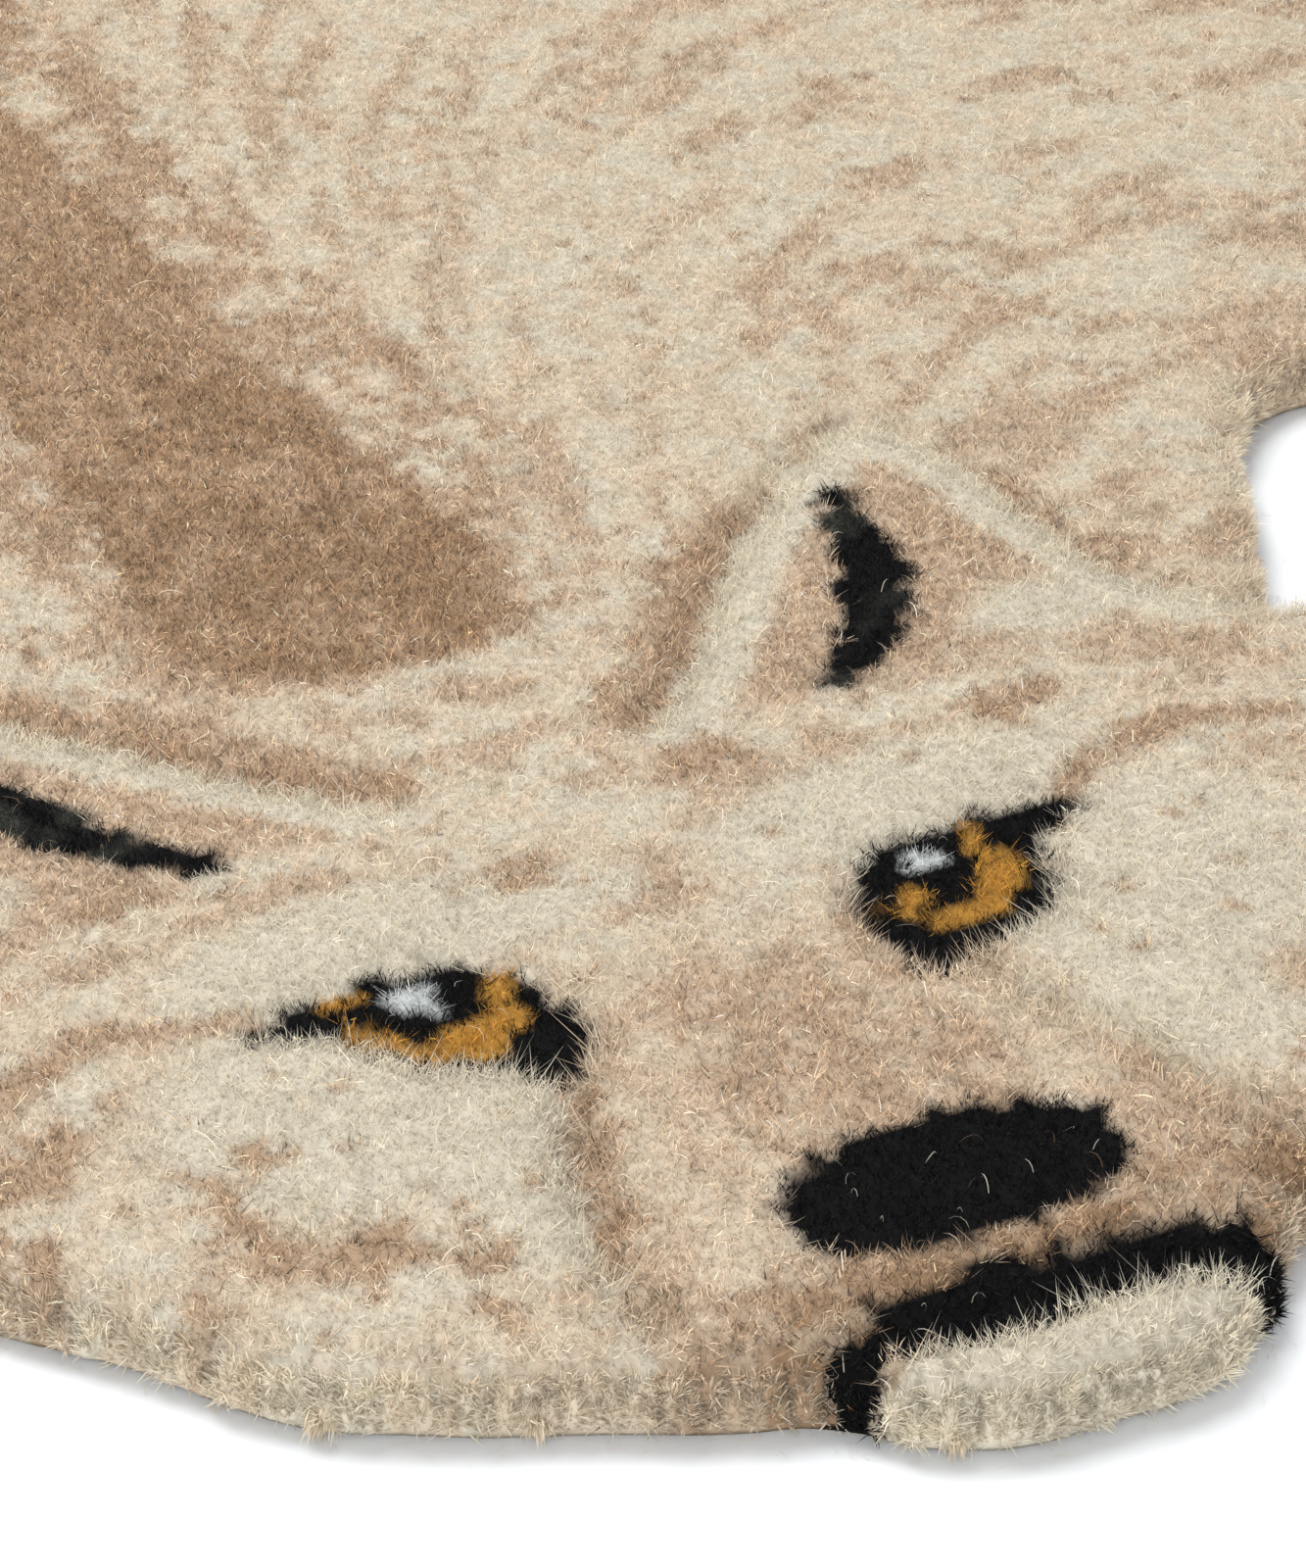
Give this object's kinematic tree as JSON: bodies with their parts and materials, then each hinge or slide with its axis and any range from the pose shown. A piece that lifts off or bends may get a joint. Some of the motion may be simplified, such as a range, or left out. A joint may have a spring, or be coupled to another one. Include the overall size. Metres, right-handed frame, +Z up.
{
  "type": "animal-shaped kids rug",
  "caption": "Hand-tufted wool rug in the outline of a big cat lying flat, with short cut pile, a carved face, spread legs and a tail.",
  "frame": {"origin": "middle of the rug's bounding box, on the floor", "axes": "+Z up from the floor, +Y along the cat from its chin to the tip of its tail, +X across to the side that is on the right when the face is the right way up"},
  "size_m": [0.8962, 1.4018, 0.0159],
  "materials": {
    "wool_pile": "matt cut wool pile in cream, beige and tan, with black, amber and charcoal face tufts"
  },
  "bodies": {
    "root": {"tufted_rug": "wool_pile"}
  },
  "joints": []
}
